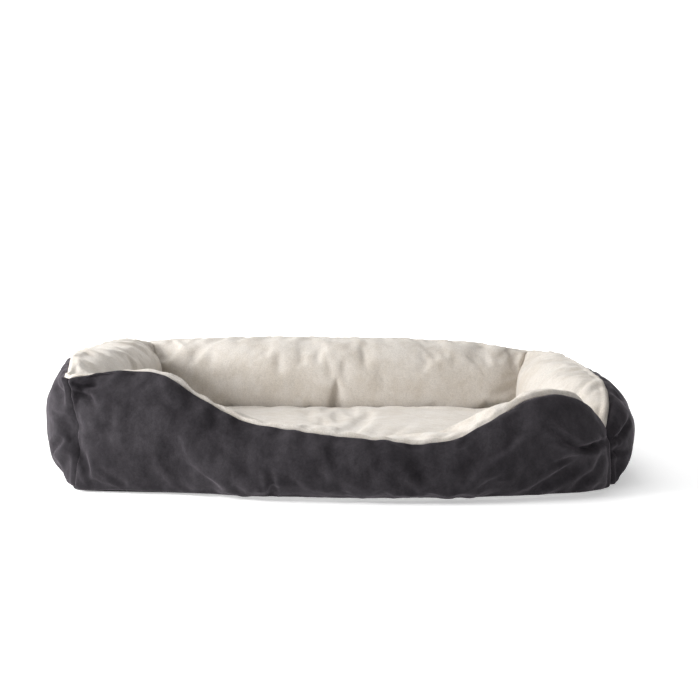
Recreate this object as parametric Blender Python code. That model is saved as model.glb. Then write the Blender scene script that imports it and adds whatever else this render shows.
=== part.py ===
"""A pet cushion bed: four stuffed walls sewn round a flat base, with a lift-out boxed cushion in the well.

Metres, +Z up. The low entry faces -Y. The origin is on the floor, under the middle of the bed.
Every wall is a fibre filling between a dark outer panel and a pale lining panel. The cushion is a
foam core between two waddings, in a piped cover that closes with a zip along its rear edge.
"""

import math

import bmesh
import bpy
from mathutils import Vector

MM = 0.001

# The bed as a whole
LENGTH = 0.914  # over the bulge of the end walls
DEPTH = 0.686  # over the bulge of the long walls
FABRIC = 2 * MM  # pile fabric of the walls
GAP = 0.5 * MM  # between pieces that touch

# The walls in plan. A corner seam pinches a wall down to the stretch from CORNER_IN to CORNER_OUT.
CORNER_OUT = Vector((0.385, 0.290))
CORNER_IN = Vector((0.352, 0.262))
WELL_X = 0.338  # inner face of an end wall, at mid length
WELL_Y = 0.230  # inner face of a long wall, at mid length
SWELL_POWER = 3.5  # how soon a wall reaches its full thickness from its corner seams
STATIONS = {"front": 21, "right": 13, "back": 15, "left": 13}

# Crest height along each wall, as (place from -1 to 1, height). The walls run anticlockwise.
CREST = {
    "front": (
        (-1.00, 0.172), (-0.78, 0.182), (-0.62, 0.176), (-0.49, 0.146), (-0.34, 0.116), (-0.13, 0.101),
        (0.13, 0.090), (0.29, 0.086), (0.43, 0.096), (0.57, 0.128), (0.70, 0.149), (0.80, 0.151),
        (0.91, 0.130), (1.00, 0.088),
    ),
    "right": ((-1.00, 0.088), (-0.88, 0.132), (-0.68, 0.157), (-0.30, 0.163), (0.60, 0.166), (1.00, 0.162)),
    "back": ((-1.00, 0.162), (-0.70, 0.176), (0.00, 0.188), (0.70, 0.186), (1.00, 0.180)),
    "left": ((-1.00, 0.180), (-0.70, 0.190), (0.00, 0.195), (0.60, 0.190), (1.00, 0.172)),
}

# A wall's cross-section, by angle: 0 is the outer face, 90 the crest, 180 the inner face.
SEAM_ANGLE = 68  # where the outer panel meets the lining, just outside the crest
OUTER_ANGLES = (-80, -52, -26, 0, 26, 50, SEAM_ANGLE)
LINING_ANGLES = (90, 112, 135, 158, 180, 206, 232, 260)
ANGLES = (-90, *OUTER_ANGLES, *LINING_ANGLES)
SEAM = len(OUTER_ANGLES)  # the rim seam's place in ANGLES
WIDEST = 0.48  # height of the widest level, as a share of the crest's
TOP_POWER = 3.0
OUTER_FOOT_POWER = 2.8
INNER_FOOT_POWER = 2.3

# Base
BASE_THICKNESS = 2 * MM
DECK_THICKNESS = 1.6 * MM
WALL_FOOT = BASE_THICKNESS + GAP
DECK_TOP = WALL_FOOT + DECK_THICKNESS
BASE_REACH = 0.45  # how far the base runs under a wall, as a share of its half thickness
DECK_REACH = -0.47

# Lift-out cushion
CUSHION_X = WELL_X - 5 * MM  # half its length
CUSHION_Y = WELL_Y - 9 * MM  # half its width, with room for the zip's pull behind it
CUSHION_CORNER = 35 * MM
CUSHION_FOOT = DECK_TOP + GAP
COVER = 1.6 * MM
CORD_RADIUS = 2.5 * MM
CORD_INSET = 0.8 * MM
PANEL_INSET = CORD_INSET + CORD_RADIUS + GAP
FILL_INSET = 4 * MM
GUSSET_LOW = CUSHION_FOOT + 2 * CORD_RADIUS + GAP
GUSSET_HIGH = 50 * MM
TOP_EDGE = 54 * MM  # level of the top panel's edge
CROWN = 14 * MM
WADDING = 4 * MM
CORE_HIGH = 47 * MM

# Zip in the rear gusset, about a coil that runs along X
ZIP_LEVEL = 25 * MM
ZIP_HALF = 0.22
SLOT_HALF = 6 * MM
COIL_HALF = 2.3 * MM
COIL_DEPTH = 2.2 * MM
TAPE = 0.8 * MM
TAPE_WIDTH = 12 * MM
STOP_LENGTH = 3 * MM
SLIDER_LENGTH = 9 * MM
SLIDER_PLATE = 1.1 * MM
FLANGE = 1 * MM
POST = 0.8 * MM
BAR_RADIUS = 0.5 * MM
EYE_INNER = 0.8 * MM
EYE_OUTER = 1.6 * MM
EYE_SIDES = 14
PULL_WIDTH = 3 * MM
PULL_LENGTH = 12 * MM
PLATE_TOP = GAP + SLIDER_PLATE  # how far the slider's plate stands off the gusset
BAR_LEVEL = PLATE_TOP + 0.2 * MM + EYE_OUTER
LABEL_LOW = (0.235, 12 * MM)
LABEL_HIGH = (0.275, 46 * MM)
LABEL_THICKNESS = 0.6 * MM

OUTER_COLOUR = (0.075, 0.072, 0.080, 1)
CREAM_COLOUR = (0.80, 0.74, 0.67, 1)
FIBRE_COLOUR = (0.88, 0.88, 0.86, 1)
FOAM_COLOUR = (0.82, 0.74, 0.50, 1)
BASE_COLOUR = (0.040, 0.040, 0.045, 1)
TAPE_COLOUR = (0.70, 0.66, 0.60, 1)
METAL_COLOUR = (0.60, 0.60, 0.62, 1)


# ---------------------------------------------------------------- helpers

def material(name, colour, roughness, metallic=0.0):
    made = bpy.data.materials.new(name)
    made.use_nodes = True
    shader = made.node_tree.nodes["Principled BSDF"]
    shader.inputs["Base Color"].default_value = colour
    shader.inputs["Roughness"].default_value = roughness
    shader.inputs["Metallic"].default_value = metallic
    return made


def add_object(name, bm, finish, parent=None, origin=(0, 0, 0)):
    """Makes the object of a bmesh whose points are in world space, with its origin at origin."""
    bmesh.ops.translate(bm, verts=bm.verts, vec=-Vector(origin))
    bmesh.ops.recalc_face_normals(bm, faces=bm.faces)
    mesh = bpy.data.meshes.new(name)
    bm.to_mesh(mesh)
    bm.free()
    mesh.shade_smooth()
    mesh.set_sharp_from_angle(angle=math.radians(40))
    mesh.materials.append(finish)
    obj = bpy.data.objects.new(name, mesh)
    bpy.context.scene.collection.objects.link(obj)
    obj.location = Vector(origin)
    obj.parent = parent
    while parent:
        obj.location -= parent.location
        parent = parent.parent
    return obj


def add_empty(name, place):
    empty = bpy.data.objects.new(name, None)
    bpy.context.scene.collection.objects.link(empty)
    empty.location = place
    return empty


def new_rows(bm, rows):
    return [[bm.verts.new(point) for point in row] for row in rows]


def join_rows(bm, rows, closed):
    """Joins rows of vertices with triangles, whose diagonals all run the same way."""
    for row, following in zip(rows, rows[1:]):
        for i in range(len(row) if closed else len(row) - 1):
            j = (i + 1) % len(row)
            bm.faces.new((row[i], row[j], following[j]))
            bm.faces.new((row[i], following[j], following[i]))


def loft(bm, rings, closed_loop=False):
    """A solid through rings of points, with a cap at each end unless the rings run in a closed loop."""
    rows = new_rows(bm, rings)
    if closed_loop:
        join_rows(bm, [*rows, rows[0]], True)
    else:
        join_rows(bm, rows, True)
        bm.faces.new(rows[0])
        bm.faces.new(rows[-1])


def sheet(bm, skin, backing):
    """A thin solid between two grids of points."""
    front, back = new_rows(bm, skin), new_rows(bm, backing)
    join_rows(bm, front, False)
    join_rows(bm, back, False)
    for one, other in ((front, back), (list(zip(*front)), list(zip(*back)))):
        join_rows(bm, [one[0], other[0]], False)
        join_rows(bm, [one[-1], other[-1]], False)


def smooth_through(points, place):
    """The height at a place along a smooth curve through (place, height) points."""
    last = len(points) - 1
    i = max(k for k in range(last) if points[k][0] <= place + 1e-9)
    (x0, y0), (x1, y1) = points[i], points[i + 1]

    def slope(k):
        low, high = points[max(k - 1, 0)], points[min(k + 1, last)]
        return (high[1] - low[1]) / (high[0] - low[0])

    t = (place - x0) / (x1 - x0)
    run = x1 - x0
    return (
        (2 * t**3 - 3 * t**2 + 1) * y0
        + (t**3 - 2 * t**2 + t) * slope(i) * run
        + (3 * t**2 - 2 * t**3) * y1
        + (t**3 - t**2) * slope(i + 1) * run
    )


# ---------------------------------------------------------------- walls

def wall_frame(side):
    """(direction along, direction outward, outer and inner half length, outer and inner corner, bulges)."""
    along, outward = {
        "front": (Vector((1, 0)), Vector((0, -1))),
        "right": (Vector((0, 1)), Vector((1, 0))),
        "back": (Vector((-1, 0)), Vector((0, 1))),
        "left": (Vector((0, -1)), Vector((-1, 0))),
    }[side]
    a, b = (0, 1) if side in ("front", "back") else (1, 0)
    reach_out, reach_in = (DEPTH / 2, WELL_Y) if b == 1 else (LENGTH / 2, WELL_X)
    return (
        along, outward, CORNER_OUT[a], CORNER_IN[a], CORNER_OUT[b], CORNER_IN[b],
        reach_out - CORNER_OUT[b], CORNER_IN[b] - reach_in,
    )


def plan_line(side, place):
    """The inner and outer ends, in plan, of a wall's cross-section at a place from -1 to 1 along it."""
    along, outward, half_out, half_in, corner_out, corner_in, bulge_out, bulge_in = wall_frame(side)
    swell = 1 - abs(place) ** SWELL_POWER
    outer = along * (place * half_out) + outward * (corner_out + bulge_out * swell)
    inner = along * (place * half_in) + outward * (corner_in - bulge_in * swell)
    return inner, outer


def section_point(angle, half, crest):
    """(across, up) of a wall's skin at an angle, for a wall of that half thickness and crest height."""
    c, s = math.cos(math.radians(angle)), math.sin(math.radians(angle))
    foot_power = OUTER_FOOT_POWER if c > 0 else INNER_FOOT_POWER
    power = TOP_POWER if s > 0 else foot_power
    middle = WALL_FOOT + WIDEST * (crest - WALL_FOOT)
    reach = crest - middle if s > 0 else middle - WALL_FOOT
    across = math.copysign(abs(c) ** (2 / power), c) * half
    return Vector((across, middle + math.copysign(abs(s) ** (2 / power), s) * reach))


def inset_ring(points, depth):
    """A ring of points moved inwards, to the left of the way it runs, by depth square to its edges."""
    moved = []
    for i, point in enumerate(points):
        normals = []
        for start, end in ((points[i - 1], point), (point, points[(i + 1) % len(points)])):
            edge = (end - start).normalized()
            normals.append(Vector((-edge.y, edge.x)))
        normal = (normals[0] + normals[1]).normalized()
        moved.append(point + normal * depth / normal.dot(normals[0]))
    return moved


def section(side, place, depth):
    """World points all round a wall's cross-section, depth below its skin."""
    inner, outer = plan_line(side, place)
    middle, half = (inner + outer) / 2, (outer - inner).length / 2
    across = (outer - inner).normalized()
    crest = smooth_through(CREST[side], place)
    flat = [section_point(angle, half, crest) for angle in ANGLES]
    return [(middle + across * p.x).to_3d() + Vector((0, 0, p.y)) for p in inset_ring(flat, depth)]


def places(side):
    """Places along a wall, closer near its ends, which stop short of the corner seams."""
    count = STATIONS[side]
    edge = 1 - GAP / wall_frame(side)[2]
    even = [2 * i / (count - 1) - 1 for i in range(count)]
    return [edge * (0.75 * s + 0.25 * math.sin(s * math.pi / 2)) for s in even]


def outer_stretch(ring):
    return ring[1 : SEAM + 1]


def lining_stretch(ring):
    """The part of a ring from the rim seam to the inner foot, clear of the outer panel at the seam."""
    start, following = ring[SEAM : SEAM + 2]
    return [start + (following - start).normalized() * GAP, *ring[SEAM + 1 :]]


def add_wall_panel(name, side, stretch, finish):
    """A sheet of fabric that lies on a stretch of a wall's filling."""
    skin, backing = ([stretch(section(side, s, depth)) for s in places(side)] for depth in (0, FABRIC))
    bm = bmesh.new()
    sheet(bm, skin, backing)
    add_object(name, bm, finish)


def add_filling(side, finish):
    bm = bmesh.new()
    loft(bm, [section(side, s, FABRIC + GAP) for s in places(side)])
    add_object(f"bolster_fill_{side}", bm, finish)


def add_walls(outer, cream, fibre):
    for side in STATIONS:
        add_wall_panel(f"outer_panel_{side}", side, outer_stretch, outer)
        add_wall_panel(f"lining_panel_{side}", side, lining_stretch, cream)
        add_filling(side, fibre)


# ---------------------------------------------------------------- base

def wall_outline(share):
    """The plan outline under all four walls, at a share of their half thickness from their middles."""
    outline = []
    for side in STATIONS:
        for s in places(side)[:-1]:
            inner, outer = plan_line(side, s)
            outline.append((inner + outer) / 2 + (outer - inner) / 2 * share)
    return outline


def add_plate(name, outline, low, high, finish):
    bm = bmesh.new()
    loft(bm, [[p.to_3d() + Vector((0, 0, z)) for p in outline] for z in (low, high)])
    add_object(name, bm, finish)


# ---------------------------------------------------------------- cushion

def cushion_outline(inset, arc=5):
    """Plan points of the cushion's edge, anticlockwise from the +X side, moved in by inset."""
    half_x, half_y, radius = CUSHION_X - inset, CUSHION_Y - inset, CUSHION_CORNER - inset
    outline = []
    for k, (x, y) in enumerate(((1, 1), (-1, 1), (-1, -1), (1, -1))):
        centre = Vector((x * (half_x - radius), y * (half_y - radius)))
        for i in range(arc):
            a = math.pi / 2 * (k + i / (arc - 1))
            outline.append(centre + radius * Vector((math.cos(a), math.sin(a))))
    return outline


def add_pad(name, inset, under, over, finish, parent):
    """A pad between two surfaces, each given as (level at its edge, rise to its middle)."""
    edge = cushion_outline(inset)
    shares = (0.35, 0.6, 0.8, 0.93, 1.0)  # rings of points, as shares of the edge outline
    rings = []
    for share, (level, rise) in [(s, under) for s in shares] + [(s, over) for s in reversed(shares)]:
        height = Vector((0, 0, level + rise * (1 - share**3)))
        rings.append([(p * share).to_3d() + height for p in edge])
    bm = bmesh.new()
    loft(bm, rings)
    add_object(name, bm, finish, parent)


def add_cord(name, level, finish, parent):
    """Round piping that runs all the way round the cushion's edge."""
    path = cushion_outline(CORD_INSET)
    sides = 8
    rings = []
    for i, point in enumerate(path):
        ahead = (path[(i + 1) % len(path)] - path[i - 1]).normalized()
        out = Vector((ahead.y, -ahead.x, 0))
        ring = []
        for k in range(sides):
            a = 2 * math.pi * k / sides
            height = level + CORD_RADIUS * math.sin(a)
            ring.append(point.to_3d() + out * CORD_RADIUS * math.cos(a) + Vector((0, 0, height)))
        rings.append(ring)
    bm = bmesh.new()
    loft(bm, rings, closed_loop=True)
    add_object(name, bm, finish, parent)


def add_gusset(finish, parent):
    """The strip round the ends and the front, which stops where the straight of the rear edge begins."""
    outer, inner = cushion_outline(0), cushion_outline(COVER)
    rear_end = len(outer) // 4
    rings = []
    for a, b in zip(outer[rear_end:] + outer[:rear_end], inner[rear_end:] + inner[:rear_end]):
        corners = ((a, GUSSET_LOW), (a, GUSSET_HIGH), (b, GUSSET_HIGH), (b, GUSSET_LOW))
        rings.append([point.to_3d() + Vector((0, 0, z)) for point, z in corners])
    bm = bmesh.new()
    loft(bm, rings)
    add_object("cushion_gusset", bm, finish, parent)


def add_block(name, low, high, finish, parent):
    """A rectangular block between two corners, with its origin at its middle."""
    low, high = Vector(low), Vector(high)
    middle = (low + high) / 2
    bm = bmesh.new()
    bmesh.ops.create_cube(bm, size=1)
    bmesh.ops.scale(bm, verts=bm.verts, vec=high - low)
    bmesh.ops.translate(bm, verts=bm.verts, vec=middle)
    return add_object(name, bm, finish, parent, middle)


def add_cushion(cream, fibre, foam):
    lift = add_empty("cushion_lift", (0, 0, 0))
    wadding_low = CUSHION_FOOT + COVER + GAP
    core_low = wadding_low + WADDING + GAP
    for name, inset, under, over, finish in (
        ("cushion_base_panel", PANEL_INSET, (CUSHION_FOOT, 0), (CUSHION_FOOT + COVER, 0), cream),
        ("wadding_lower", FILL_INSET, (wadding_low, 0), (wadding_low + WADDING, 0), fibre),
        ("foam_core", FILL_INSET, (core_low, 0), (CORE_HIGH, 0), foam),
        ("wadding_upper", FILL_INSET, (CORE_HIGH + GAP, 0), (TOP_EDGE - GAP, CROWN), fibre),
        ("cushion_top_panel", PANEL_INSET, (TOP_EDGE, CROWN), (TOP_EDGE + COVER, CROWN), cream),
    ):
        add_pad(name, inset, under, over, finish, lift)
    add_cord("cushion_piping_top", GUSSET_HIGH + GAP + CORD_RADIUS, cream, lift)
    add_cord("cushion_piping_base", CUSHION_FOOT + CORD_RADIUS, cream, lift)
    add_gusset(cream, lift)
    return lift


# ---------------------------------------------------------------- zip

def add_zip(lift, cream, tape):
    """The two strips of the rear gusset, and the tapes and coil in the slot between them."""
    strip = CUSHION_X - CUSHION_CORNER - GAP
    strip_inside = CUSHION_Y - COVER
    tape_outside = strip_inside - GAP
    tape_end = ZIP_HALF + 10 * MM
    for name, low, high in (
        ("zip_strip_lower", GUSSET_LOW, ZIP_LEVEL - SLOT_HALF),
        ("zip_strip_upper", ZIP_LEVEL + SLOT_HALF, GUSSET_HIGH),
    ):
        add_block(name, (-strip, strip_inside, low), (strip, CUSHION_Y, high), cream, lift)
    for name, low in (
        ("zip_tape_lower", ZIP_LEVEL - COIL_HALF - GAP - TAPE_WIDTH),
        ("zip_tape_upper", ZIP_LEVEL + COIL_HALF + GAP),
    ):
        corner, opposite = (-tape_end, tape_outside - TAPE, low), (tape_end, tape_outside, low + TAPE_WIDTH)
        add_block(name, corner, opposite, tape, lift)
    low, high = ZIP_LEVEL - COIL_HALF, ZIP_LEVEL + COIL_HALF
    add_block("zip_coil", (-ZIP_HALF, CUSHION_Y - COIL_DEPTH, low), (ZIP_HALF, CUSHION_Y, high), tape, lift)


def add_zip_stops(lift, metal):
    reach = ZIP_HALF + GAP
    for name, start in (("zip_stop_right", reach), ("zip_stop_left", -reach - STOP_LENGTH)):
        corner = (start, CUSHION_Y - COIL_DEPTH, ZIP_LEVEL - COIL_HALF)
        opposite = (start + STOP_LENGTH, CUSHION_Y, ZIP_LEVEL + COIL_HALF)
        add_block(name, corner, opposite, metal, lift)


def add_slider(lift, metal):
    """A channel that straddles the coil at the zip's closed end, with a bar on two posts for the pull."""
    place = Vector((-ZIP_HALF + SLIDER_LENGTH, CUSHION_Y, ZIP_LEVEL))
    inner, outer, depth = COIL_HALF + GAP, COIL_HALF + GAP + FLANGE, -1 * MM
    channel = (
        (PLATE_TOP, -outer), (PLATE_TOP, outer), (depth, outer), (depth, inner),
        (GAP, inner), (GAP, -inner), (depth, -inner), (depth, -outer),
    )
    ends = (-SLIDER_LENGTH / 2, SLIDER_LENGTH / 2)
    bm = bmesh.new()
    loft(bm, [[place + Vector((x, y, z)) for y, z in channel] for x in ends])
    slider = add_object("zip_slider", bm, metal, lift, place)

    post_low = PULL_WIDTH / 2 + 0.4 * MM
    bm = bmesh.new()
    made = bmesh.ops.create_cone(
        bm, cap_ends=True, segments=10, radius1=BAR_RADIUS, radius2=BAR_RADIUS, depth=2 * post_low + POST
    )
    bmesh.ops.translate(bm, verts=made["verts"], vec=place + Vector((0, BAR_LEVEL, 0)))
    joined = [add_object("slider_bar", bm, metal, None, place)]
    for name, low in (("slider_post_lower", -post_low - POST), ("slider_post_upper", post_low)):
        corner = place + Vector((-POST, PLATE_TOP - 0.4 * MM, low))
        opposite = place + Vector((POST, BAR_LEVEL + 0.9 * MM, low + POST))
        joined.append(add_block(name, corner, opposite, metal, None))
    for guide in joined:
        guide.hide_render = True
        guide.display_type = "WIRE"
        union = slider.modifiers.new(guide.name, "BOOLEAN")
        union.operation = "UNION"
        union.object = guide
    return slider


def add_pull(slider, metal):
    """The pull tab: an eye round the slider's bar, and a flat tongue that lies towards +X."""
    pivot = Vector((-ZIP_HALF + SLIDER_LENGTH, CUSHION_Y + BAR_LEVEL, ZIP_LEVEL))
    half = PULL_WIDTH / 2
    rings = []
    for k in range(EYE_SIDES):
        a = 2 * math.pi * (k + 0.5) / EYE_SIDES
        spoke = Vector((math.cos(a), math.sin(a), 0))
        corners = ((EYE_OUTER, -half), (EYE_OUTER, half), (EYE_INNER, half), (EYE_INNER, -half))
        rings.append([pivot + spoke * radius + Vector((0, 0, z)) for radius, z in corners])
    bm = bmesh.new()
    loft(bm, rings, closed_loop=True)
    # The outer face that looks along +X is pulled out into the tongue.
    eye_end = pivot.x + EYE_OUTER * math.cos(math.pi / EYE_SIDES)
    root = [f for f in bm.faces if abs(f.calc_center_median().x - eye_end) < 0.01 * MM]
    made = bmesh.ops.extrude_face_region(bm, geom=root)
    bmesh.ops.delete(bm, geom=root, context="FACES_ONLY")
    for v in made["geom"]:
        if isinstance(v, bmesh.types.BMVert):
            v.co.x = pivot.x + PULL_LENGTH
    add_object("zip_pull", bm, metal, slider, pivot)


def add_label(lift, tape):
    """A blank care label, sewn flat on the rear gusset beside the zip."""
    (x0, z0), (x1, z1) = LABEL_LOW, LABEL_HIGH
    near = CUSHION_Y + GAP
    add_block("care_label", (x0, near, z0), (x1, near + LABEL_THICKNESS, z1), tape, lift)


def main():
    for obj in list(bpy.data.objects):
        bpy.data.objects.remove(obj)
    outer = material("outer_plush", OUTER_COLOUR, 0.9)
    cream = material("cream_plush", CREAM_COLOUR, 0.9)
    fibre = material("polyester_fibre", FIBRE_COLOUR, 0.95)
    foam = material("foam", FOAM_COLOUR, 0.9)
    base = material("base_cloth", BASE_COLOUR, 0.8)
    tape = material("zip_tape", TAPE_COLOUR, 0.8)
    metal = material("zip_metal", METAL_COLOUR, 0.3, 1.0)

    add_walls(outer, cream, fibre)
    add_plate("base_panel", wall_outline(BASE_REACH), 0, BASE_THICKNESS, base)
    add_plate("base_deck", wall_outline(DECK_REACH), WALL_FOOT, DECK_TOP, cream)
    lift = add_cushion(cream, fibre, foam)
    add_zip(lift, cream, tape)
    add_zip_stops(lift, metal)
    slider = add_slider(lift, metal)
    add_pull(slider, metal)
    add_label(lift, tape)


main()
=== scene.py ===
"""Looks of a bolster pet bed: stuffed plush walls, and a boxed cushion with a zip along its rear edge."""
import itertools
import math

import bpy
import numpy as np
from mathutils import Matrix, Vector


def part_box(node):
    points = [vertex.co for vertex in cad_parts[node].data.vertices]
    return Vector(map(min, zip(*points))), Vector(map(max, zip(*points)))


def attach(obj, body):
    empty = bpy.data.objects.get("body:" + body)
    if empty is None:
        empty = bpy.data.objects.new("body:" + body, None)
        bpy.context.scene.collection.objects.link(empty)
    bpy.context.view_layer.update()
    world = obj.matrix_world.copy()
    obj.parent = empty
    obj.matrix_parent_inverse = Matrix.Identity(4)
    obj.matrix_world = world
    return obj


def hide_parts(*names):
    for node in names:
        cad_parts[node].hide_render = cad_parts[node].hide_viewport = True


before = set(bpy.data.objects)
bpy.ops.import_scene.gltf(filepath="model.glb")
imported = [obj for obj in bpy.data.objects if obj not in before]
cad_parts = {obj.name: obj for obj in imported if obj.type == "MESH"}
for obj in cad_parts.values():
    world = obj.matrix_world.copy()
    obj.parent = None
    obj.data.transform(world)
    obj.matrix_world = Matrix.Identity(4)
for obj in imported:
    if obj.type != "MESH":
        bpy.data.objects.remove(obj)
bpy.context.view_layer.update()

MM = 0.001
SIDES = ("front", "right", "back", "left")
ALONG = {"front": (1, 0), "right": (0, 1), "back": (-1, 0), "left": (0, -1)}
OUTWARD = {"front": (0, -1), "right": (1, 0), "back": (0, 1), "left": (-1, 0)}

# ------------------------ walls, driving values

# Crest height along each wall, as (place from -1 to 1, height). The walls run anticlockwise.
CREST = {
    "front": (
        (-1.00, 0.170), (-0.80, 0.180), (-0.66, 0.174), (-0.53, 0.144), (-0.38, 0.115), (-0.15, 0.101),
        (0.13, 0.090), (0.29, 0.085), (0.43, 0.096), (0.57, 0.127), (0.70, 0.146), (0.79, 0.148),
        (0.91, 0.127), (1.00, 0.084),
    ),
    "right": (
        (-1.00, 0.084), (-0.88, 0.118), (-0.68, 0.142), (-0.30, 0.152), (0.20, 0.160), (0.60, 0.165),
        (1.00, 0.162),
    ),
    "back": ((-1.00, 0.162), (-0.70, 0.176), (0.00, 0.188), (0.70, 0.186), (1.00, 0.180)),
    "left": ((-1.00, 0.180), (-0.70, 0.190), (0.00, 0.195), (0.60, 0.188), (1.00, 0.170)),
}
# Where the rim seam lies round the section, in degrees: 90 is the crest, less is further down the outside.
RIM = {
    "front": ((-1.0, 78), (-0.75, 80), (-0.5, 76), (-0.2, 68), (0.3, 64), (0.6, 70), (0.8, 77), (1.0, 74)),
    "right": ((-1.0, 74), (-0.7, 72), (0.5, 70), (1.0, 72)),
    "back": ((-1.0, 72), (1.0, 72)),
    "left": ((-1.0, 68), (0.0, 66), (0.7, 68), (1.0, 78)),
}
# How far each wall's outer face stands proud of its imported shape, as (place, distance)
BULGE = {
    "front": ((-1.0, -0.034), (-0.6, -0.024), (-0.3, 0.002), (0.2, 0.017), (0.7, 0.012), (1.0, 0.004)),
    "right": ((-1.0, 0.014), (-0.2, 0.018), (1.0, 0.0)),
    "back": ((-1.0, 0.0), (1.0, 0.0)),
    "left": ((-1.0, 0.0), (0.0, -0.004), (1.0, -0.012)),
}
# The outer end of each corner seam in plan, and the wall that starts there
CORNERS = {
    "front": (-0.386, -0.275), "right": (0.414, -0.256), "back": (0.385, 0.290), "left": (-0.388, 0.290)
}
CORNER_WIDTH = np.array((0.033, 0.028))  # from the outer to the inner end of a corner seam
WALL_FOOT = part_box("bolster_fill_back")[0].z - 2.5 * MM
WIDEST = {"front": 0.48, "right": 0.50, "back": 0.50, "left": 0.56}
TOP_POWER = {"front": 2.4, "right": 2.1, "back": 2.8, "left": 2.3}
OUTER_FOOT_POWER = {"front": 4.0, "right": 3.0, "back": 3.2, "left": 2.6}
INNER_FOOT_POWER = 2.3
FOOT_OUT = -74  # the outer foot seam's angle
FOOT_IN = 254
SWELL_POWER = {"front": 3.5, "right": 2.6, "back": 3.5, "left": 3.5}  # at the corner where each wall starts
SWELL_ROUND = 1.7  # how steeply a wall swells out of its corner seams
# How far a corner seam is drawn in at half height, on the outside
PINCH = {"front": 19 * MM, "right": 9 * MM, "back": 9 * MM, "left": 9 * MM}
PINCH_INSIDE = 4 * MM
FLARE = {"front": 15 * MM, "right": -6 * MM, "back": 4 * MM, "left": 4 * MM}  # how far its top leans outwards
CELL = 5.5 * MM
COLUMNS = (42, 48, 10)  # outer panel, lining, underside
PLUSH = 2 * MM
SEAM_DEPTH = 3.0 * MM
SEAM_WIDTH = 3.2 * MM
LIP_PROUD = 1.6 * MM  # how far the lining's rolled edge stands out, just inside the rim seam
ALLOWANCE = 4 * MM
SEAM_GAP = 0.03 * MM  # between a wall's end and the upright plane through its corner seam

# Creases of an outer face, as (points along and up the face, depth, width)
CREASES = {
    "front": (
        (((0.372, 0.073), (0.352, 0.074), (0.325, 0.086), (0.297, 0.108)), 7 * MM, 4.5 * MM),
        (((0.362, 0.070), (0.345, 0.072), (0.304, 0.089)), 5 * MM, 4 * MM),
        (((0.330, 0.070), (0.352, 0.069), (0.375, 0.073), (0.398, 0.074)), 8 * MM, 5 * MM),
        (((0.356, 0.064), (0.338, 0.059), (0.308, 0.052)), 6 * MM, 5 * MM),
        (((0.362, 0.062), (0.338, 0.048), (0.283, 0.018)), 7 * MM, 6 * MM),
        (((0.352, 0.047), (0.318, 0.026), (0.270, 0.010)), 4 * MM, 5 * MM),
        (((0.385, 0.060), (0.372, 0.036), (0.340, 0.012)), 4 * MM, 6 * MM),
        (((0.158, 0.082), (0.194, 0.107), (0.224, 0.115)), 4 * MM, 4.5 * MM),
        (((0.196, 0.110), (0.228, 0.121), (0.249, 0.128), (0.276, 0.130)), 3.5 * MM, 4.5 * MM),
        (((-0.378, 0.162), (-0.362, 0.154), (-0.338, 0.158)), 7 * MM, 4.5 * MM),
        (((-0.380, 0.150), (-0.352, 0.140), (-0.340, 0.128)), 5.5 * MM, 4.5 * MM),
        (((-0.362, 0.078), (-0.340, 0.082), (-0.315, 0.078)), 3 * MM, 6 * MM),
        (((-0.366, 0.060), (-0.352, 0.022)), 3 * MM, 6 * MM),
        (((-0.262, 0.164), (-0.276, 0.150), (-0.300, 0.140)), 1.8 * MM, 5 * MM),
        (((-0.088, 0.002), (-0.084, 0.020), (-0.085, 0.048)), 4 * MM, 5 * MM),
    ),
    "left": (
        (((-0.266, 0.082), (-0.250, 0.066), (-0.225, 0.045)), 6 * MM, 5 * MM),
        (((-0.262, 0.140), (-0.235, 0.150)), 4 * MM, 5 * MM),
        (((-0.266, 0.110), (-0.240, 0.112)), 3 * MM, 5 * MM),
    ),
    "right": (
        (((-0.262, 0.070), (-0.235, 0.078), (-0.200, 0.100)), 6 * MM, 5 * MM),
        (((-0.262, 0.058), (-0.225, 0.052)), 5 * MM, 5 * MM),
    ),
}

# The cloth is cut a little too large and filled, so that it wrinkles between its seams.
SIM_FRAMES = 24
SWELL_BLUR = 60  # passes of blur that tell the slow swelling from the folds
LOOSENESS = 0.06
PRESSURE = 3.0
FOLD_CAP = 7 * MM
BILLOW_SHARE = 0.25  # how much of the cloth's slow swelling is kept, beside all of its folds

# ------------------------ cushion and base, driving values

CUSHION_LOW, CUSHION_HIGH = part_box("cushion_gusset")
CUSHION_X, CUSHION_Y = CUSHION_HIGH.x, -CUSHION_LOW.y
CUSHION_CORNER = 35 * MM
CUSHION_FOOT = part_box("cushion_base_panel")[0].z
TOP_EDGE = 54 * MM
CROWN = 14 * MM
COVER = 1.6 * MM
CORD_INSET = 0.8 * MM
PANEL_INSET = 3.8 * MM
FILL_INSET = 4.5 * MM
DECK_REACH = -0.2
BASE_REACH = 0.25
DOT_PITCH = 22 * MM
DOT_RADIUS = 3 * MM

# ------------------------ zip, driving values

REAR = CUSHION_Y
ZIP_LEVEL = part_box("zip_coil")[0].z + 2.3 * MM
ZIP_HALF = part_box("zip_coil")[1].x
SLOT_HALF = 6 * MM
TEETH_PITCH = 1.6 * MM
SLIDER_LOW, SLIDER_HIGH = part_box("zip_slider")
SLIDER_X = (SLIDER_LOW.x + SLIDER_HIGH.x) / 2
SLIDER_LENGTH = SLIDER_HIGH.x - SLIDER_LOW.x
BAR_Y = REAR + 3.4 * MM
STITCH = 3 * MM

# ------------------------ small tools


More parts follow.
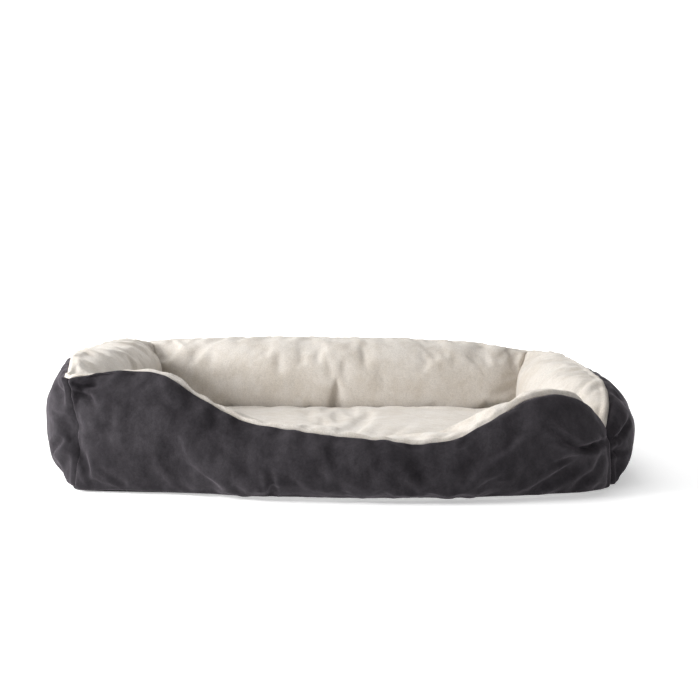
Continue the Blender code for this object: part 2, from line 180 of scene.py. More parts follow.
def smooth_through(points, place):
    """The value at each place along a smooth curve through (place, value) points."""
    xs, ys = (np.array(v, float) for v in zip(*points))
    slopes = np.gradient(ys, xs)
    place = np.clip(np.asarray(place, float), xs[0], xs[-1])
    i = np.clip(np.searchsorted(xs, place, side="right") - 1, 0, len(xs) - 2)
    run = xs[i + 1] - xs[i]
    t = (place - xs[i]) / run
    return (
        (2 * t**3 - 3 * t**2 + 1) * ys[i]
        + (t**3 - 2 * t**2 + t) * slopes[i] * run
        + (3 * t**2 - 2 * t**3) * ys[i + 1]
        + (t**3 - t**2) * slopes[i + 1] * run
    )


def lumps(points, size, seed):
    """Smooth noise from -1 to 1 at points (..., 3), in lumps about size across."""
    cell = points / size + seed * 17.3
    base = np.floor(cell)
    part = cell - base
    part = part * part * (3 - 2 * part)
    total = np.zeros(points.shape[:-1])
    for corner in itertools.product((0, 1), repeat=3):
        value = np.sin((base + corner) @ np.array((127.1, 311.7, 74.7)) + seed) * 43758.5453
        value = (value - np.floor(value)) * 2 - 1
        total += value * np.prod(np.where(corner, part, 1 - part), axis=-1)
    return total


def blur(grid, passes, closed):
    """Smooths a grid of values along its rows and columns. closed says that the columns run in a ring."""
    for _ in range(passes):
        padded = np.concatenate((grid[:1], grid, grid[-1:]))
        grid = (padded[:-2] + 2 * grid + padded[2:]) / 4
        if closed:
            grid = (np.roll(grid, 1, 1) + 2 * grid + np.roll(grid, -1, 1)) / 4
        else:
            padded = np.concatenate((grid[:, :1], grid, grid[:, -1:]), 1)
            grid = (padded[:, :-2] + 2 * grid + padded[:, 2:]) / 4
    return grid


def between(grid, axis, closed):
    """The grid with a point put half way between each two along an axis, on a smooth curve."""
    grid = np.moveaxis(grid, axis, 0)
    if closed:
        ring = np.concatenate((grid[-1:], grid, grid[:2]))
    else:
        ring = np.concatenate((2 * grid[:1] - grid[1:2], grid, 2 * grid[-1:] - grid[-2:-1]))
    middle = (9 * (ring[1:-2] + ring[2:-1]) - ring[:-3] - ring[3:]) / 16
    count = len(grid) + len(middle)
    made = np.empty((count, *grid.shape[1:]))
    made[0::2] = grid
    made[1::2] = middle
    return np.moveaxis(made, 0, axis)


def refined(grid, closed):
    return between(between(grid, 0, False), 1, closed)


def unit(vectors):
    return vectors / np.maximum(np.linalg.norm(vectors, axis=-1, keepdims=True), 1e-12)


def grid_normals(grid, closed):
    """Unit normals of a grid whose columns run anticlockwise round a wall that runs along its rows."""
    du = np.gradient(grid, axis=0)
    if closed:
        dv = (np.roll(grid, -1, 1) - np.roll(grid, 1, 1)) / 2
    else:
        dv = np.gradient(grid, axis=1)
    return unit(np.cross(du, dv))


def soft_normals(grid, closed):
    """Grid normals evened out over a few cells, which don't cross each other in a tight fold."""
    return unit(blur(grid_normals(grid, closed), 4, closed))


def grid_faces(rows, columns, start=0, flip=False, closed=False):
    """Quads over a grid of vertices numbered row by row from start."""
    i = np.arange(rows - 1)[:, None]
    j = np.arange(columns if closed else columns - 1)[None, :]
    k = (j + 1) % columns
    quads = np.stack((i * columns + j, i * columns + k, (i + 1) * columns + k, (i + 1) * columns + j), -1)
    quads = quads.reshape(-1, 4) + start
    return quads[:, ::-1] if flip else quads


def capped(grid, flip):
    """Points and faces of a closed body over a grid whose columns run in a ring, with both ends filled in."""
    rows, columns = grid.shape[:2]
    ends = [tuple(range(columns))[::-1], tuple(range((rows - 1) * columns, rows * columns))]
    if flip:
        ends = [end[::-1] for end in ends]
    return grid.reshape(-1, 3), [tuple(f) for f in grid_faces(rows, columns, 0, flip, True)] + ends


def mesh_object(name, points, faces, finish, smooth=True):
    mesh = bpy.data.meshes.new(name)
    mesh.from_pydata([tuple(p) for p in points], [], [tuple(int(i) for i in f) for f in faces])
    mesh.validate()
    if smooth:
        mesh.shade_smooth()
    mesh.materials.append(finish)
    obj = bpy.data.objects.new(name, mesh)
    bpy.context.scene.collection.objects.link(obj)
    return obj


def sheet_object(name, grid, thickness, finish, facing=1):
    """A thin closed sheet whose outer face is a grid. facing is -1 where its normals point into the sheet."""
    if facing < 0:
        grid = grid[:, ::-1]
    back = grid - soft_normals(grid, False) * thickness
    rows, columns = grid.shape[:2]
    count = rows * columns
    faces = [grid_faces(rows, columns, 0, True), grid_faces(rows, columns, count, False)]
    index = np.arange(count).reshape(rows, columns)
    rim = np.concatenate((index[0, :-1], index[:-1, -1], index[-1, :0:-1], index[:0:-1, 0]))
    following = np.roll(rim, -1)
    faces.append(np.stack((rim, following, following + count, rim + count), -1))
    points = np.concatenate((grid.reshape(-1, 3), back.reshape(-1, 3)))
    return mesh_object(name, points, np.concatenate(faces), finish)


def finish_piece(piece, body, slot, node):
    """Attaches a piece to its body and hides its CAD node. The slot is not used."""
    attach(piece, body)
    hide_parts(node)


# ------------------------ materials


class Nodes:
    """A short way to write a material's node tree."""

    def __init__(self, name):
        self.material = bpy.data.materials.new(name)
        self.material.use_nodes = True
        self.tree = self.material.node_tree
        self.shader = self.tree.nodes["Principled BSDF"]
        self.where = self.tree.nodes.new("ShaderNodeTexCoord").outputs["Object"]

    def feed(self, socket, value):
        """Links a socket to another one, or sets it to a number or a colour."""
        if isinstance(value, bpy.types.NodeSocket):
            self.tree.links.new(value, socket)
        else:
            socket.default_value = (*value, 1) if socket.type == "RGBA" else value

    def add(self, kind, **inputs):
        node = self.tree.nodes.new(kind)
        for name, value in inputs.items():
            self.feed(node.inputs[name.replace("_", " ")], value)
        return node

    def noise(self, scale, detail=2.0, roughness=0.5, distortion=0.0, vector=None):
        node = self.add(
            "ShaderNodeTexNoise", Scale=scale, Detail=detail, Roughness=roughness, Distortion=distortion,
            Vector=vector or self.where,
        )
        return node.outputs["Fac"]

    def stretched(self, scale, turn=(0, 0, 0)):
        return self.add("ShaderNodeMapping", Vector=self.where, Scale=scale, Rotation=turn).outputs["Vector"]

    def ramp(self, value, *stops):
        """Maps a value through stops of (position, grey or colour)."""
        node = self.add("ShaderNodeValToRGB", Fac=value)
        node.color_ramp.interpolation = "EASE"
        for position, colour in stops[2:]:
            node.color_ramp.elements.new(position)
        for element, (position, colour) in zip(node.color_ramp.elements, stops):
            element.position = position
            element.color = (colour,) * 3 + (1,) if isinstance(colour, (int, float)) else (*colour, 1)
        return node.outputs["Color"]

    def mix(self, kind, factor, a, b):
        node = self.tree.nodes.new("ShaderNodeMix")
        node.data_type = "RGBA"
        node.blend_type = kind
        for number, value in ((0, factor), (6, a), (7, b)):
            self.feed(node.inputs[number], value)
        return node.outputs[2]

    def math(self, kind, a, b):
        node = self.tree.nodes.new("ShaderNodeMath")
        node.operation = kind
        self.feed(node.inputs[0], a)
        self.feed(node.inputs[1], b)
        return node.outputs[0]

    def bump(self, height, distance, strength=1.0, normal=None):
        node = self.add("ShaderNodeBump", Height=height, Distance=distance, Strength=strength)
        if normal:
            self.tree.links.new(normal, node.inputs["Normal"])
        return node.outputs["Normal"]

    def set(self, **inputs):
        for name, value in inputs.items():
            self.feed(self.shader.inputs[name.replace("_", " ")], value)
        return self.material


def plush(name, dark, light, spread_of_patches, grain_depth, sheen, sheen_tint):
    """Short dense pile: brushed patches lie lighter or darker, over a fine tufted nap."""
    n = Nodes(name)
    cloud = n.noise(13.0, 3.0, 0.55, 0.2)
    strokes = n.noise(55.0, 4.0, 0.65, 0.3, n.stretched((1.0, 1.0, 0.7), (0.0, 0.35, 0.4)))
    low, high = spread_of_patches
    patches = n.math("ADD", n.math("MULTIPLY", cloud, 0.5), n.math("MULTIPLY", strokes, 0.5))
    nap = n.ramp(patches, (low, 0.0), (high, 1.0))
    colour = n.mix("MIX", nap, dark, light)
    tuft = n.noise(620.0, 2.0, 0.6)
    colour = n.mix("MULTIPLY", 0.55, colour, n.ramp(tuft, (0.25, 0.62), (0.75, 1.0)))
    grain = n.noise(210.0, 3.0, 0.7)
    colour = n.mix("MULTIPLY", grain_depth, colour, n.ramp(grain, (0.3, 0.55), (0.62, 1.0)))
    pile = n.bump(tuft, 0.5 * MM, 0.55)
    pile = n.bump(n.noise(150.0, 3.0, 0.6, 0.4), 0.9 * MM, 0.35, pile)
    return n.set(
        Base_Color=colour, Roughness=n.ramp(nap, (0.0, 0.98), (1.0, 0.82)), Normal=pile, Sheen_Weight=sheen,
        Sheen_Roughness=0.45, Sheen_Tint=sheen_tint, Specular_IOR_Level=0.25,
    )


def woven(name, colour, thread, contrast, roughness, distance):
    """Plain weave, with threads along X and Y that pass over and under each other."""
    n = Nodes(name)
    bands = []
    for direction in ("X", "Y"):
        wave = n.add("ShaderNodeTexWave", Vector=n.where, Scale=1 / thread / 20, Distortion=0.25, Detail=1.0)
        wave.bands_direction = direction
        bands.append(wave.outputs["Fac"])
    weave = n.math("MULTIPLY", bands[0], bands[1])
    shade = n.ramp(weave, (0.0, 1 - contrast), (0.6, 1.0))
    wear = n.ramp(n.noise(9.0, 4.0, 0.6), (0.3, 0.86), (0.7, 1.0))
    mixed = n.mix("MULTIPLY", 1.0, n.mix("MULTIPLY", 1.0, colour, shade), wear)
    rough = n.ramp(weave, (0.0, min(1.0, roughness + 0.1)), (1.0, roughness))
    return n.set(Base_Color=mixed, Roughness=rough, Normal=n.bump(weave, distance, 0.6), Sheen_Weight=0.15)


def fibre(name, colour, scale, depth):
    """Loose white fibre, matted into soft lumps."""
    n = Nodes(name)
    strands = n.noise(scale, 5.0, 0.7, 3.0, n.stretched((1.0, 0.25, 0.6), (0.2, 0.4, 0.9)))
    shade = n.ramp(strands, (0.3, 0.72), (0.7, 1.0))
    return n.set(
        Base_Color=n.mix("MULTIPLY", 1.0, colour, shade), Roughness=n.ramp(strands, (0.0, 1.0), (1.0, 0.85)),
        Normal=n.bump(strands, depth, 0.7), Sheen_Weight=0.3,
    )


def foam(name, colour):
    """Open-cell foam, with pores about a millimetre across and a face yellowed in patches."""
    n = Nodes(name)
    pores = n.add("ShaderNodeTexVoronoi", Vector=n.where, Scale=700.0).outputs["Distance"]
    shade = n.ramp(pores, (0.05, 0.55), (0.45, 1.0))
    age = n.ramp(n.noise(5.0, 3.0), (0.3, (1.0, 0.94, 0.82)), (0.7, (1.0, 1.0, 1.0)))
    mixed = n.mix("MULTIPLY", 1.0, n.mix("MULTIPLY", 1.0, colour, shade), age)
    rough = n.ramp(pores, (0.0, 1.0), (1.0, 0.9))
    return n.set(Base_Color=mixed, Roughness=rough, Normal=n.bump(pores, 0.5 * MM))


def moulded(name, colour, roughness):
    """Moulded nylon, with a faint skin of flow marks."""
    n = Nodes(name)
    marks = n.noise(240.0, 3.0, 0.6, 0.8)
    shade = n.ramp(marks, (0.3, 0.9), (0.7, 1.0))
    rough = n.ramp(marks, (0.0, roughness + 0.15), (1.0, roughness))
    mixed = n.mix("MULTIPLY", 1.0, colour, shade)
    return n.set(Base_Color=mixed, Roughness=rough, Normal=n.bump(marks, 0.05 * MM, 0.3))


def cast_metal(name, colour):
    """Plated zinc, duller in scratches, and darker where it tarnishes in patches."""
    n = Nodes(name)
    scratches = n.noise(420.0, 4.0, 0.7, 0.3, n.stretched((0.15, 1.0, 1.0)))
    tarnish = n.noise(160.0, 3.0, 0.6)
    shade = n.ramp(tarnish, (0.3, 0.78), (0.7, 1.0))
    rough = n.ramp(scratches, (0.3, 0.22), (0.7, 0.42))
    return n.set(
        Base_Color=n.mix("MULTIPLY", 1.0, colour, shade), Roughness=rough, Metallic=1.0,
        Normal=n.bump(scratches, 0.03 * MM, 0.3),
    )


GREY_PLUSH = plush(
    "grey_plush", (0.016, 0.0138, 0.0168), (0.043, 0.038, 0.044), (0.28, 0.74), 0.45, 0.24, (0.62, 0.55, 0.62)
)
CREAM_PLUSH = plush(
    "cream_plush", (0.68, 0.62, 0.545), (0.79, 0.745, 0.69), (0.30, 0.66), 0.12, 0.20, (1.0, 0.97, 0.93)
)
CREAM_WEAVE = woven("cream_weave", (0.74, 0.66, 0.56), 0.5 * MM, 0.3, 0.8, 0.15 * MM)
BASE_CLOTH = woven("base_cloth", (0.030, 0.030, 0.034), 0.7 * MM, 0.5, 0.7, 0.2 * MM)
TAPE_CLOTH = woven("tape_cloth", (0.70, 0.64, 0.56), 0.45 * MM, 0.35, 0.75, 0.15 * MM)
LABEL_SATIN = woven("label_satin", (0.86, 0.86, 0.85), 0.3 * MM, 0.12, 0.45, 0.05 * MM)
GRIP_RUBBER = moulded("grip_rubber", (0.045, 0.045, 0.050), 0.6)
FIBRE = fibre("white_fibre", (0.90, 0.90, 0.88), 90.0, 2 * MM)
WADDING = fibre("wadding", (0.88, 0.88, 0.87), 160.0, 1 * MM)
FOAM = foam("foam", (0.80, 0.70, 0.42))
NYLON = moulded("coil_nylon", (0.74, 0.68, 0.60), 0.35)
THREAD = moulded("thread", (0.72, 0.65, 0.56), 0.6)
METAL = cast_metal("plated_zinc", (0.62, 0.61, 0.60))

# ------------------------ walls


def wall_reach(side):
    """How far a wall reaches outwards, and where its inner face is, at mid length."""
    axis = 1 if side in ("front", "back") else 0
    sign = OUTWARD[side][axis]
    outer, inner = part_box(f"outer_panel_{side}"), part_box(f"lining_panel_{side}")
    if sign > 0:
        return outer[1][axis], inner[0][axis]
    return -outer[0][axis], -inner[1][axis]


def seam_line(corner):
    """The outer and inner ends, in plan, of a corner seam."""
    outer = np.array(CORNERS[corner])
    return outer, outer - np.sign(outer) * CORNER_WIDTH


def seam_direction(corner):
    outer, inner = seam_line(corner)
    return unit(outer - inner)


def following_side(side):
    """The wall that starts where a wall ends."""
    return SIDES[(SIDES.index(side) + 1) % 4]


def plan_line(side, place):
    """The inner and outer ends, in plan, of a wall's section at a place from -1 to 1 along it."""
    outward = np.array(OUTWARD[side], float)
    following = following_side(side)
    starts, ends = seam_line(side), seam_line(following)
    share = (1 + place) / 2
    power = SWELL_POWER[side if place < 0 else following]
    swell = (1 - min(1.0, abs(place)) ** power) ** (1 / SWELL_ROUND)
    outer, inner = (a * (1 - share) + b * share for a, b in zip(starts, ends))
    reach_out, reach_in = wall_reach(side)
    reach_out += float(smooth_through(BULGE[side], place))
    outer = outer + outward * (reach_out - outer @ outward) * swell
    inner = inner + outward * (reach_in - inner @ outward) * swell
    return inner, outer


def section_ring(side, place, angles):
    """World points round a wall's section at a place along it."""
    inner, outer = plan_line(side, place)
    middle, half = (inner + outer) / 2, np.linalg.norm(outer - inner) / 2
    across = (outer - inner) / (2 * half)
    crest = float(smooth_through(CREST[side], place))
    widest = WALL_FOOT + WIDEST[side] * (crest - WALL_FOOT)
    c, s = np.cos(np.radians(angles)), np.sin(np.radians(angles))
    power = np.where(s > 0, TOP_POWER[side], np.where(c > 0, OUTER_FOOT_POWER[side], INNER_FOOT_POWER))
    reach = np.where(s > 0, crest - widest, widest - WALL_FOOT)
    x = np.sign(c) * np.abs(c) ** (2 / power) * half
    z = widest + np.sign(s) * np.abs(s) ** (2 / power) * reach
    following = following_side(side)
    corner = side if place < 0 else following
    starts, ends = seam_line(side)[0], seam_line(following)[0]
    near_end = math.exp(-((1 - abs(place)) * np.linalg.norm(starts - ends) / 2 / (26 * MM)) ** 2)
    height = np.clip((z - WALL_FOOT) / (crest - WALL_FOOT), 0, 1)
    pinch = np.where(c > 0, PINCH[corner], PINCH_INSIDE)
    x = x - np.sign(c) * pinch * near_end * np.sin(np.pi * height) ** 0.8 * np.abs(x / half)
    x = x + FLARE[corner] * near_end * height**3
    return np.column_stack((middle[0] + across[0] * x, middle[1] + across[1] * x, z))


def spread(ring, stops, counts):
    """Points spaced evenly by length along a ring, with one at each stop, which are indices into it."""
    made = []
    for start, end, count in zip(stops, stops[1:], counts):
        piece = ring[start : end + 1]
        run = np.concatenate(([0], np.cumsum(np.linalg.norm(np.diff(piece, axis=0), axis=1))))
        at = np.linspace(0, run[-1], count + 1)[:-1]
        made.append(np.column_stack([np.interp(at, run, piece[:, k]) for k in range(3)]))
    return np.concatenate(made)


def wall_grid(side):
    """A wall's skin: rows along the wall, columns round it from the outer foot seam, over the crest."""
    length = np.linalg.norm(seam_line(side)[0] - seam_line(following_side(side))[0])
    count = int(length / CELL)
    even = np.linspace(-1, 1, count)
    rows = []
    for place in 0.7 * even + 0.3 * np.sin(even * np.pi / 2):
        rim = float(smooth_through(RIM[side], place))
        stops_at = (FOOT_OUT, rim, FOOT_IN, FOOT_OUT + 360)
        pieces = [np.linspace(a, b, 121) for a, b in zip(stops_at, stops_at[1:])]
        angles = np.concatenate([p[:-1] for p in pieces] + [pieces[-1][-1:]])
        rows.append(spread(section_ring(side, place, angles), (0, 120, 240, 360), COLUMNS))
    return np.array(rows)


def inflate(name, grid, pinned, looseness, pressure, closed):
    """The grid as cloth that is cut a little too large, sewn down where pinned, with air pushed into it."""
    rows, columns = grid.shape[:2]
    faces = [tuple(int(i) for i in f) for f in grid_faces(rows, columns, 0, True, closed)]
    if closed:
        faces += [tuple(range(columns)), tuple(range((rows - 1) * columns, rows * columns))[::-1]]
    mesh = bpy.data.meshes.new(name)
    mesh.from_pydata([tuple(p) for p in grid.reshape(-1, 3)], [], faces)
    obj = bpy.data.objects.new(name, mesh)
    bpy.context.scene.collection.objects.link(obj)
    group = obj.vertex_groups.new(name="seams")
    group.add([int(i) for i in np.flatnonzero(pinned.ravel())], 1.0, "REPLACE")
    cloth = obj.modifiers.new("cloth", "CLOTH")
    for name, value in (
        ("quality", 6), ("mass", 0.2), ("vertex_group_mass", "seams"), ("use_pressure", True),
        ("uniform_pressure_force", pressure), ("shrink_min", -looseness), ("tension_stiffness", 25),
        ("compression_stiffness", 25), ("bending_stiffness", 1.2),
    ):
        setattr(cloth.settings, name, value)
    cloth.settings.effector_weights.gravity = 0
    cloth.point_cache.frame_start, cloth.point_cache.frame_end = 1, SIM_FRAMES
    for number in range(1, SIM_FRAMES + 1):
        bpy.context.scene.frame_set(number)
    solved = obj.evaluated_get(bpy.context.evaluated_depsgraph_get()).data
    points = np.empty(len(solved.vertices) * 3)
    solved.vertices.foreach_get("co", points)
    bpy.data.objects.remove(obj)
    bpy.context.scene.frame_set(1)
    return points.reshape(grid.shape)


def folded(side, grid):
    """The wall's skin with the folds that its spare cloth makes between the seams."""
    pinned = np.zeros(grid.shape[:2], bool)
    pinned[[0, -1]] = True
    pinned[:, [0, COLUMNS[0], COLUMNS[0] + COLUMNS[1]]] = True
    pinned[:, COLUMNS[0] + COLUMNS[1] :] = True
    moved = inflate(f"cloth_{side}", grid, pinned, LOOSENESS, PRESSURE, True) - grid
    return grid + kept_folds(moved, pinned, True, FOLD_CAP)


def kept_folds(moved, pinned, closed, cap):
    """The folds of a solved cloth, without most of its slow swelling, and dying out towards its seams."""
    moved = blur(moved - blur(moved, SWELL_BLUR, closed) * (1 - BILLOW_SHARE), 1, closed)
    size = np.linalg.norm(moved, axis=-1, keepdims=True)
    free = np.where(pinned, 0.0, 1.0)
    free = np.minimum(free, blur(free, 3, closed)) ** 1.5
    return moved * free[..., None] * cap * np.tanh(size / cap) / np.maximum(size, 1e-9)


def groove(distance, width):
    return np.exp(-((distance / width) ** 2))


def sink(grid, amount, closed):
    return grid - soft_normals(grid, closed) * amount[..., None]


def column_distance(grid, column):
    """Length along each row from a column, as if the surface were laid flat."""
    steps = np.linalg.norm(np.diff(grid, axis=1), axis=-1)
    run = np.concatenate((np.zeros((len(grid), 1)), np.cumsum(steps, axis=1)), axis=1)
    return run - run[:, column : column + 1]


def crease_depth(flat, path, depth, width):
    """How far a crease sinks each point of an outer face, with a low ridge thrown up on both sides."""
    path = np.array(path)
    lengths = np.linalg.norm(np.diff(path, axis=0), axis=1)
    best = np.full(flat.shape[:2], 1e9)
    along = np.zeros(flat.shape[:2])
    done = 0.0
    for start, end, length in zip(path, path[1:], lengths):
        t = np.clip(((flat - start) @ (end - start)) / length**2, 0, 1)
        away = np.linalg.norm(flat - start - t[..., None] * (end - start), axis=-1)
        closer = away < best
        best = np.where(closer, away, best)
        along = np.where(closer, done + t * length, along)
        done += length
    taper = np.sin(np.pi * np.clip(along / done, 0.02, 0.98)) ** 0.6
    return depth * taper * (groove(best, width) - 0.35 * groove(best - 1.9 * width, width))


def detailed(side, grid):
    """The fine skin of a wall: seam grooves, puckers beside them, creases, and a lumpy filling."""
    rim, foot_in = 2 * COLUMNS[0], 2 * (COLUMNS[0] + COLUMNS[1])
    from_rim = column_distance(grid, rim)
    row = np.arange(len(grid))[:, None] * np.ones(grid.shape[1])
    step = np.linalg.norm(np.diff(grid[:, rim], axis=0), axis=-1).mean()
    from_end = np.minimum(row, len(grid) - 1 - row) * step
    pucker = lumps(grid * (1, 1, 0.4), 14 * MM, 3)
    amount = SEAM_DEPTH * groove(from_rim, SEAM_WIDTH)
    amount += 0.9 * MM * pucker * groove(from_rim - 9 * MM * np.sign(from_rim), 9 * MM)
    amount += LIP_PROUD * (0.4 * groove(from_rim - 14 * MM, 3 * MM) - groove(from_rim - 6.5 * MM, 3.5 * MM))
    gather = lumps(grid * (0.25, 0.25, 1.0), 13 * MM, 5)
    amount += 2.2 * MM * gather * groove(from_end - 10 * MM, 16 * MM)
    amount += 1.2 * MM * lumps(grid, 60 * MM, 7) + 0.5 * MM * lumps(grid, 25 * MM, 8)
    amount[:, :rim] += 4 * MM * groove(from_end[:, :rim], 5 * MM)
    amount[:, rim:] += 1 * MM * groove(from_end[:, rim:], 4 * MM)
    outside = np.clip(grid_normals(grid, True)[..., :2] @ np.array(OUTWARD[side], float) * 2, 0, 1)
    flat = grid[..., [0 if side in ("front", "back") else 1, 2]]
    for path, depth, width in CREASES.get(side, ()):
        amount += outside * crease_depth(flat, path, depth, width)
    fade = np.ones(grid.shape[1])
    fade[foot_in:] = 0
    grid = sink(grid, amount * fade, True)
    grid[..., 2] = np.maximum(grid[..., 2], WALL_FOOT)
    return meeting(side, grid)


def meeting(side, grid):
    """Draws a wall's two ends up to the upright planes through its corner seams, and never past them."""
    along = np.array(ALONG[side], float)
    last = len(grid) - 1
    for sign, end, corner in ((-1, 0, side), (1, last, following_side(side))):
        outer, line = seam_line(corner)[0], seam_direction(corner)
        normal = np.array((-line[1], line[0]))
        normal *= np.sign(normal @ along) * sign
        over = (grid[..., :2] - outer) @ normal + SEAM_GAP
        near = np.exp(-((np.arange(len(grid)) - end) / 2.5) ** 2)[:, None]
        kept = np.minimum(over - over[end] * near, 0)
        grid[..., :2] += (kept - over)[..., None] * normal
    return grid


def hemmed(grid, allowance, corners=()):
    """The grid with its four edges turned in by a seam allowance, which lies flat along any corner seams."""
    inward = -soft_normals(grid, False)
    for end, corner in zip((0, -1), corners):
        line = seam_direction(corner)
        inward[end, :, :2] = (inward[end, :, :2] @ line)[:, None] * line
        inward[end] = unit(inward[end])
    turned = grid + inward * allowance
    grid = np.concatenate((turned[:1], grid, turned[-1:]))
    turned = np.concatenate((turned[:1], turned, turned[-1:]))
    return np.concatenate((turned[:, :1], grid, turned[:, -1:]), 1)


def add_walls():
    for side in SIDES:
        coarse = meeting(side, folded(side, wall_grid(side)))
        fine = detailed(side, refined(coarse, True))
        rim, foot_in = 2 * COLUMNS[0], 2 * (COLUMNS[0] + COLUMNS[1])
        for name, node, slot, finish, start, end in (
            ("grey_panel", "outer_panel", "outer_plush", GREY_PLUSH, 0, rim),
            ("cream_lining", "lining_panel", "lining_plush", CREAM_PLUSH, rim, foot_in),
        ):
            grid = hemmed(fine[:, start : end + 1], ALLOWANCE, (side, following_side(side)))
            piece = sheet_object(f"{name}_{side}", grid, PLUSH, finish)
            finish_piece(piece, "bed", slot, f"{node}_{side}")
        add_filling(side, fine[::2, ::2])


def add_filling(side, grid):
    """The loose fibre inside a wall, a closed lumpy body a little inside its cloth."""
    depth = PLUSH + 4.5 * MM + 1.5 * MM * (1 + lumps(grid, 18 * MM, 11))
    inside = sink(grid, depth, True)
    rows, columns = inside.shape[:2]
    faces = list(grid_faces(rows, columns, 0, True, True))
    points = np.concatenate((inside.reshape(-1, 3), inside[[0, -1]].mean(1)))
    first, last = len(points) - 2, len(points) - 1
    for j in range(columns):
        k = (j + 1) % columns
        final = (rows - 1) * columns
        faces += [(j, k, first), (final + k, final + j, last)]
    piece = mesh_object(f"fibre_filling_{side}", points, faces, FIBRE)
    finish_piece(piece, "bed", "polyester_fibre", f"bolster_fill_{side}")


# ------------------------ base


def wall_outline(share):
    """Plan points round the bed, where the walls are cut at a share of their half thickness."""
    outline = []
    for side in SIDES:
        for place in np.linspace(-1, 1, 73)[:-1]:
            inner, outer = plan_line(side, place)
            outline.append((inner + outer) / 2 + (outer - inner) / 2 * share)
    return np.array(outline)


def disc_object(name, outline, shares, under, over, finish):
    """A closed body over an outline in plan, between two heights that are given for plan points."""
    rings = []
    for side, height in ((shares, under), (shares[::-1], over)):
        for share in side:
            ring = outline * share
            rings.append(np.column_stack((ring, height(ring, share))))
    return mesh_object(name, *capped(np.array(rings), False), finish)


def raised(points, height):
    """Plan points as world points at a height."""
    return np.column_stack((points, np.full(len(points), height)))


def inside(outline, points):
    """Which plan points lie inside an outline."""
    found = np.zeros(len(points), bool)
    for (x0, y0), (x1, y1) in zip(outline, np.roll(outline, -1, 0)):
        crosses = (y0 > points[:, 1]) != (y1 > points[:, 1])
        at = x0 + (points[:, 1] - y0) * (x1 - x0) / (y1 - y0 if y1 != y0 else 1e-9)
        found ^= crosses & (points[:, 0] < at)
    return found


def floor_cloth(name, outline, low, high, wave, finish):
    """A cloth over an outline, between two levels that wave together. Gives its flat size and area too."""
    piece = disc_object(
        name, outline, np.linspace(0.02, 1.0, 50), lambda ring, share: low + wave(raised(ring, 0.0)),
        lambda ring, share: high + wave(raised(ring, 0.0)), finish,
    )
    x, y = outline.T
    area = abs(np.dot(x, np.roll(y, 1)) - np.dot(y, np.roll(x, 1))) / 2
    wide, long = np.ptp(outline, axis=0)
    return piece, float(wide), float(long), float(area)


def add_base():
    """The non-slip cloth under the bed, with rubber dots, and the cream cloth that floors the well."""

    def waves(flat):
        return 0.15 * MM * lumps(flat, 45 * MM, 21)

    def rumple(flat):
        return 0.5 * MM * (lumps(flat * (1, 0.5, 1), 40 * MM, 31) + 0.5 * lumps(flat, 18 * MM, 32)) / 1.5

    outline = wall_outline(BASE_REACH)
    base, wide, long, area = floor_cloth("base_cloth", outline, 0.8 * MM, 1.8 * MM, waves, BASE_CLOTH)
    finish_piece(base, "bed", "base_cloth", "base_panel")
    add_dots(outline, wide / 2, long / 2)
    deck, wide, long, area = floor_cloth(
        "deck_cloth", wall_outline(DECK_REACH), 2.65 * MM, 3.75 * MM, rumple, CREAM_WEAVE
    )
    finish_piece(deck, "bed", "lining_plush", "base_deck")


def add_dots(outline, half_x, half_y):
    """Rubber dots in staggered rows, on the underside of the base cloth."""
    points, faces = [], []
    for row, dot_y in enumerate(np.arange(-half_y, half_y, DOT_PITCH * 0.866)):
        for dot_x in np.arange(-half_x + DOT_PITCH / 2 * (row % 2), half_x, DOT_PITCH):
            points.append((dot_x, dot_y))
    centres = np.array(points)
    centres = centres[inside(outline * 0.985, centres)]
    points = []
    turn = np.linspace(0, 2 * np.pi, 12, endpoint=False)
    circle = np.column_stack((np.cos(turn), np.sin(turn)))
    for centre in centres:
        start = len(points) * 12
        for radius, height in ((1.0, 0.95), (0.95, 0.35), (0.6, 0.0)):
            points.append(raised(centre + circle * DOT_RADIUS * radius, height * MM))
        faces += [tuple(f) for f in grid_faces(3, 12, start, True, True)]
        faces += [tuple(range(start, start + 12)), tuple(range(start + 24, start + 36))[::-1]]
    dots = mesh_object("grip_dots", np.concatenate(points), faces, GRIP_RUBBER)
    finish_piece(dots, "bed", "base_cloth", "base_panel")


# ------------------------ cushion


def cushion_outline(inset, step):
    """Plan points of the cushion's edge, about a step apart, anticlockwise from the rear edge's +X end."""
    half_x, half_y, radius = CUSHION_X - inset, CUSHION_Y - inset, CUSHION_CORNER - inset
    outline = []
    for quarter, (x, y) in enumerate(((-1, 1), (-1, -1), (1, -1), (1, 1))):
        centre = np.array((x * (half_x - radius), y * (half_y - radius)))
        straight = 2 * (half_x - radius if quarter % 2 == 0 else half_y - radius)
        run = np.array(((-1, 0), (0, -1), (1, 0), (0, 1))[quarter], float)
        spoke = np.array(((0, 1), (-1, 0), (0, -1), (1, 0))[quarter], float)
        for t in np.linspace(straight, 0, int(straight / step), endpoint=False):
            outline.append(centre - run * t + spoke * radius)
        for a in np.linspace(0, math.pi / 2, int(radius * 1.6 / step) + 1, endpoint=False):
            outline.append(centre + radius * (spoke * math.cos(a) + run * math.sin(a)))
    return np.array(outline)


